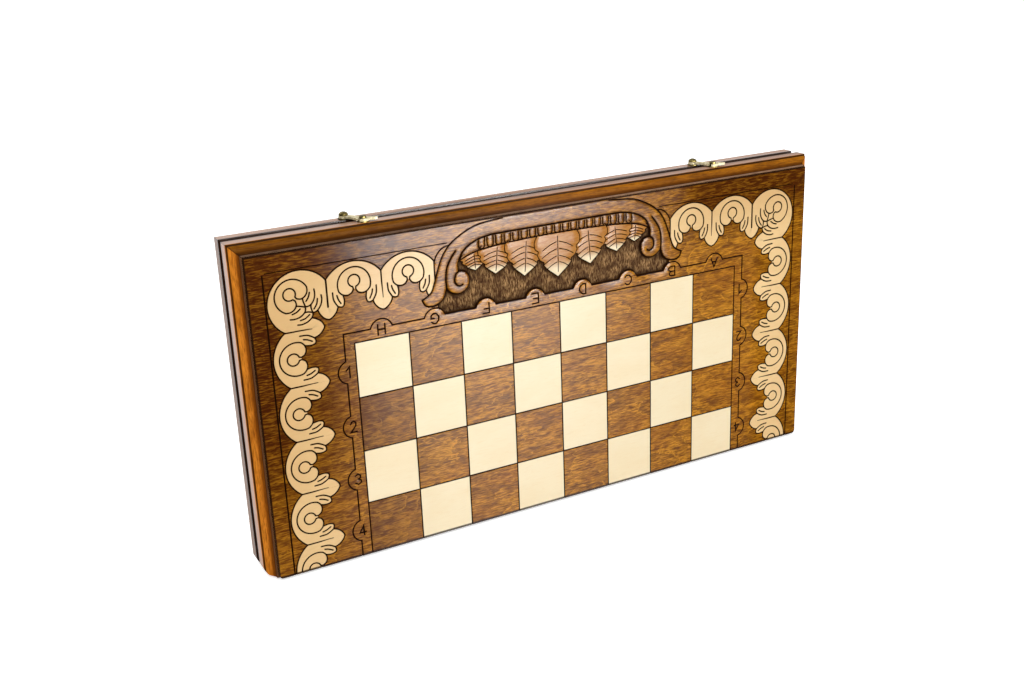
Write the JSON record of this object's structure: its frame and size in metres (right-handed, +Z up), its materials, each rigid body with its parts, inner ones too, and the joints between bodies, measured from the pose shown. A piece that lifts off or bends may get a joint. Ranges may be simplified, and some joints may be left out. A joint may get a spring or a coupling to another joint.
{
  "type": "folding wooden chess case with chessmen",
  "caption": "Carved folding chess case that opens on brass butt hinges into a full board, closed by swing hooks, with its turned chessmen stored inside.",
  "frame": {"origin": "middle of the closed case at the bottom of the hinge barrels, on the joint plane between the halves", "axes": "+X along the hinge line to the viewer's right, +Y from the front half to the back half, +Z up to the latches"},
  "size_m": [0.4964, 0.0494, 0.257],
  "materials": {
    "board_face": "carved and stained wood under satin lacquer, pale squares and scrolls on dark honey-brown stain",
    "case_rail": "moulded wood, amber stain under satin lacquer",
    "hinge_brass": "satin brass sheet",
    "latch_brass": "polished brass plate",
    "aged_brass": "aged brass, darkened in the corners",
    "light_men": "turned pale wood, satin",
    "dark_men": "turned dark-stained wood, satin"
  },
  "bodies": {
    "front_half": {"front_panel": "board_face", "front_top_rail": "case_rail", "front_left_rail": "case_rail", "front_right_rail": "case_rail", "front_hinge_rail": "case_rail", "left_hinge_front_leaf": "hinge_brass", "left_hinge_pin": "hinge_brass", "right_hinge_front_leaf": "hinge_brass", "right_hinge_pin": "hinge_brass", "front_hinge_screws": "aged_brass", "left_latch_catch": "aged_brass", "right_latch_catch": "aged_brass", "light_king": "light_men", "light_queen": "light_men", "light_bishops": "light_men", "light_knights": "light_men", "light_rooks": "light_men", "light_pawns": "light_men", "dark_king": "dark_men", "dark_queen": "dark_men", "dark_bishops": "dark_men", "dark_knights": "dark_men", "dark_rooks": "dark_men", "dark_pawns": "dark_men"},
    "back_half": {"back_panel": "board_face", "back_top_rail": "case_rail", "back_left_rail": "case_rail", "back_right_rail": "case_rail", "back_hinge_rail": "case_rail", "left_hinge_back_leaf": "hinge_brass", "right_hinge_back_leaf": "hinge_brass", "back_hinge_screws": "aged_brass", "left_latch_pivot": "aged_brass", "right_latch_pivot": "aged_brass"},
    "left_latch": {"left_latch_hook": "latch_brass"},
    "right_latch": {"right_latch_hook": "latch_brass"}
  },
  "joints": [
    {"name": "case_hinge", "type": "hinge", "parent": "front_half", "child": "back_half", "pos_m": [0, 0, 0.00175], "axis": [-1, 0, 0], "range_deg": [0, 180]},
    {"name": "left_latch_turn", "type": "hinge", "parent": "back_half", "child": "left_latch", "pos_m": [-0.15625, 0.0078, 0.2535], "axis": [0, 0, 1], "range_deg": [0, 115]},
    {"name": "right_latch_turn", "type": "hinge", "parent": "back_half", "child": "right_latch", "pos_m": [0.14775, 0.0078, 0.2535], "axis": [0, 0, 1], "range_deg": [0, 115]}
  ]
}
